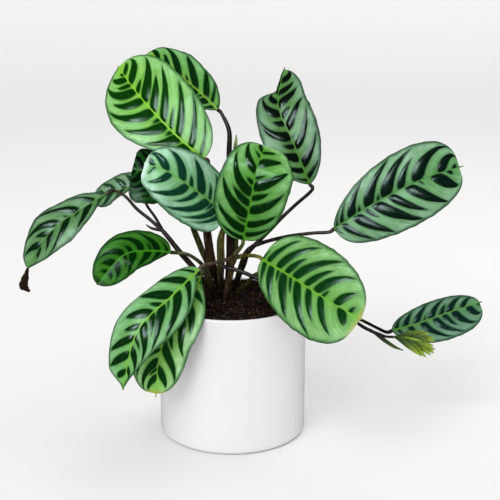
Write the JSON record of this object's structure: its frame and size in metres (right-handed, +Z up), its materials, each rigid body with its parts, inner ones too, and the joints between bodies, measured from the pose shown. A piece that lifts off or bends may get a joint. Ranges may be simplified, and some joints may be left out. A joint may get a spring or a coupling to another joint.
{
  "type": "potted ctenanthe",
  "caption": "Fishbone prayer plant in a straight white ceramic pot: oblong banded leaves on arching dark stems, a small yellow-green flower spike and dark soil.",
  "frame": {"origin": "centre of the pot's flat foot, on the surface that it stands on", "axes": "+Z up along the pot's axis, -Y towards the front, +X towards the side with the flower spike"},
  "size_m": [0.4404, 0.2455, 0.357],
  "materials": {
    "pot": "satin",
    "soil": "matte",
    "stem": "satin",
    "leaf": "satin",
    "spike": "matte"
  },
  "bodies": {
    "root": {"pot": "pot", "soil": "soil", "shoot_front": "stem", "shoot_right": "stem", "shoot_low": "stem", "shoot_flowering": "stem", "shoot_left": "stem", "shoot_upper": "stem", "shoot_back": "stem", "shoot_middle": "stem", "shoot_outer": "stem", "shoot_side": "stem", "leaf_a": "leaf", "leaf_b": "leaf", "leaf_c": "leaf", "leaf_d": "leaf", "leaf_e": "leaf", "leaf_f": "leaf", "leaf_g": "leaf", "leaf_h": "leaf", "leaf_j": "leaf", "leaf_k": "leaf", "leaf_l": "leaf", "leaf_m": "leaf", "leaf_n": "leaf", "leaf_p": "leaf", "flower_spike": "spike", "stalk_bract": "spike", "bud": "spike"}
  },
  "joints": []
}
